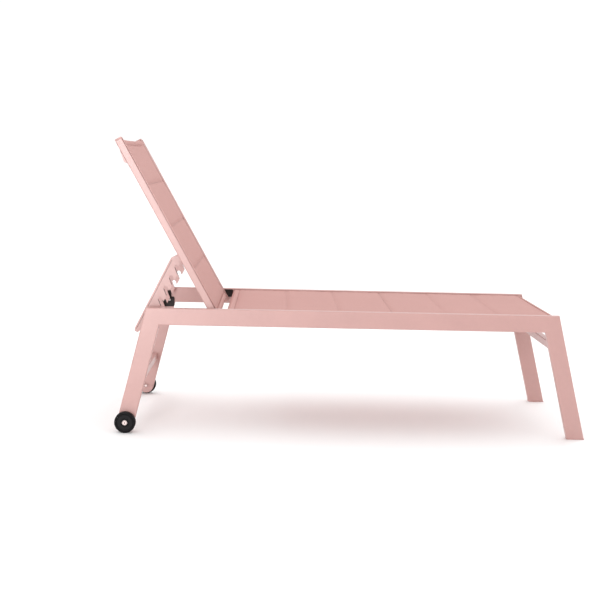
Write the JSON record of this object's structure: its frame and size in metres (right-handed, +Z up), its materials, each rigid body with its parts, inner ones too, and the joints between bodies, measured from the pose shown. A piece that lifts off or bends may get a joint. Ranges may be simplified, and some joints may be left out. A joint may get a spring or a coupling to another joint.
{
  "type": "reclining sun lounger",
  "caption": "Sun lounger with a slung seat on a splayed tube frame, a backrest that reclines on notched props, and wheels at the head end.",
  "frame": {"origin": "centre of the bounding box's bottom face, on the floor, with the backrest raised", "axes": "+X towards the foot end, +Z up, Y across the lounger with +Y on the left of a person lying on it"},
  "size_m": [1.5737, 0.7078, 0.9701],
  "materials": {
    "powder_coat": "pink satin powder coat on aluminium tube",
    "sling_fabric": "matt woven sling fabric, padded and quilted, pink",
    "plug_plastic": "moulded plastic, pink",
    "black_nylon": "moulded nylon, black",
    "tyre_rubber": "matt rubber, black",
    "wheel_plastic": "moulded plastic, charcoal",
    "zinc_steel": "zinc-plated steel"
  },
  "bodies": {
    "frame": {"axle_bolt_left": "zinc_steel", "axle_bolt_right": "zinc_steel", "axle_nut_left": "zinc_steel", "axle_nut_right": "zinc_steel", "axle_spacer_left": "black_nylon", "axle_spacer_right": "black_nylon", "block_screw_left": "zinc_steel", "block_screw_right": "zinc_steel", "foot_cap_left": "plug_plastic", "foot_cap_right": "plug_plastic", "foot_stretcher": "powder_coat", "front_leg_left": "powder_coat", "front_leg_right": "powder_coat", "head_stretcher": "powder_coat", "hinge_pin_left": "zinc_steel", "hinge_pin_right": "zinc_steel", "hinge_plate_left": "black_nylon", "hinge_plate_right": "black_nylon", "leg_end_left": "powder_coat", "leg_end_right": "powder_coat", "notch_stud_left": "black_nylon", "notch_stud_right": "black_nylon", "rear_leg_left": "powder_coat", "rear_leg_right": "powder_coat", "seat_foot_bar": "powder_coat", "seat_head_bar": "powder_coat", "seat_sling": "sling_fabric", "side_rail_left": "powder_coat", "side_rail_right": "powder_coat", "stud_block_left": "black_nylon", "stud_block_right": "black_nylon"},
    "backrest": {"backrest_bottom_bar": "powder_coat", "backrest_rail_left": "powder_coat", "backrest_rail_right": "powder_coat", "backrest_rear_brace": "powder_coat", "backrest_sling": "sling_fabric", "backrest_top_bar": "powder_coat", "prop_bolt_left": "zinc_steel", "prop_bolt_right": "zinc_steel", "prop_lug_left": "powder_coat", "prop_lug_right": "powder_coat", "rail_plug_bottom_left": "plug_plastic", "rail_plug_bottom_right": "plug_plastic", "rail_plug_top_left": "plug_plastic", "rail_plug_top_right": "plug_plastic"},
    "prop": {"prop_flange_left": "powder_coat", "prop_flange_right": "powder_coat", "prop_handle": "powder_coat", "prop_plate_left": "powder_coat", "prop_plate_right": "powder_coat"},
    "wheel_left": {"tyre_left": "tyre_rubber", "wheel_left": "wheel_plastic"},
    "wheel_right": {"tyre_right": "tyre_rubber", "wheel_right": "wheel_plastic"}
  },
  "joints": [
    {"name": "backrest_hinge", "type": "hinge", "parent": "frame", "child": "backrest", "pos_m": [-0.45781, 0, 0.399], "axis": [0, -1, 0], "range_deg": [0, 60.6]},
    {"name": "prop_pivot", "type": "hinge", "parent": "backrest", "child": "prop", "pos_m": [-0.57792, 0, 0.57753], "axis": [0, -1, 0], "range_deg": [-57.58, 0]},
    {"name": "wheel_left_spin", "type": "hinge", "parent": "frame", "child": "wheel_left", "pos_m": [-0.74263, 0.3395, 0.035], "axis": [0, 1, 0], "continuous": true},
    {"name": "wheel_right_spin", "type": "hinge", "parent": "frame", "child": "wheel_right", "pos_m": [-0.74263, -0.3395, 0.035], "axis": [0, 1, 0], "continuous": true}
  ],
  "couplings": [
    {"joint": "prop_pivot", "follows": "backrest_hinge", "ratio": -0.95}
  ]
}
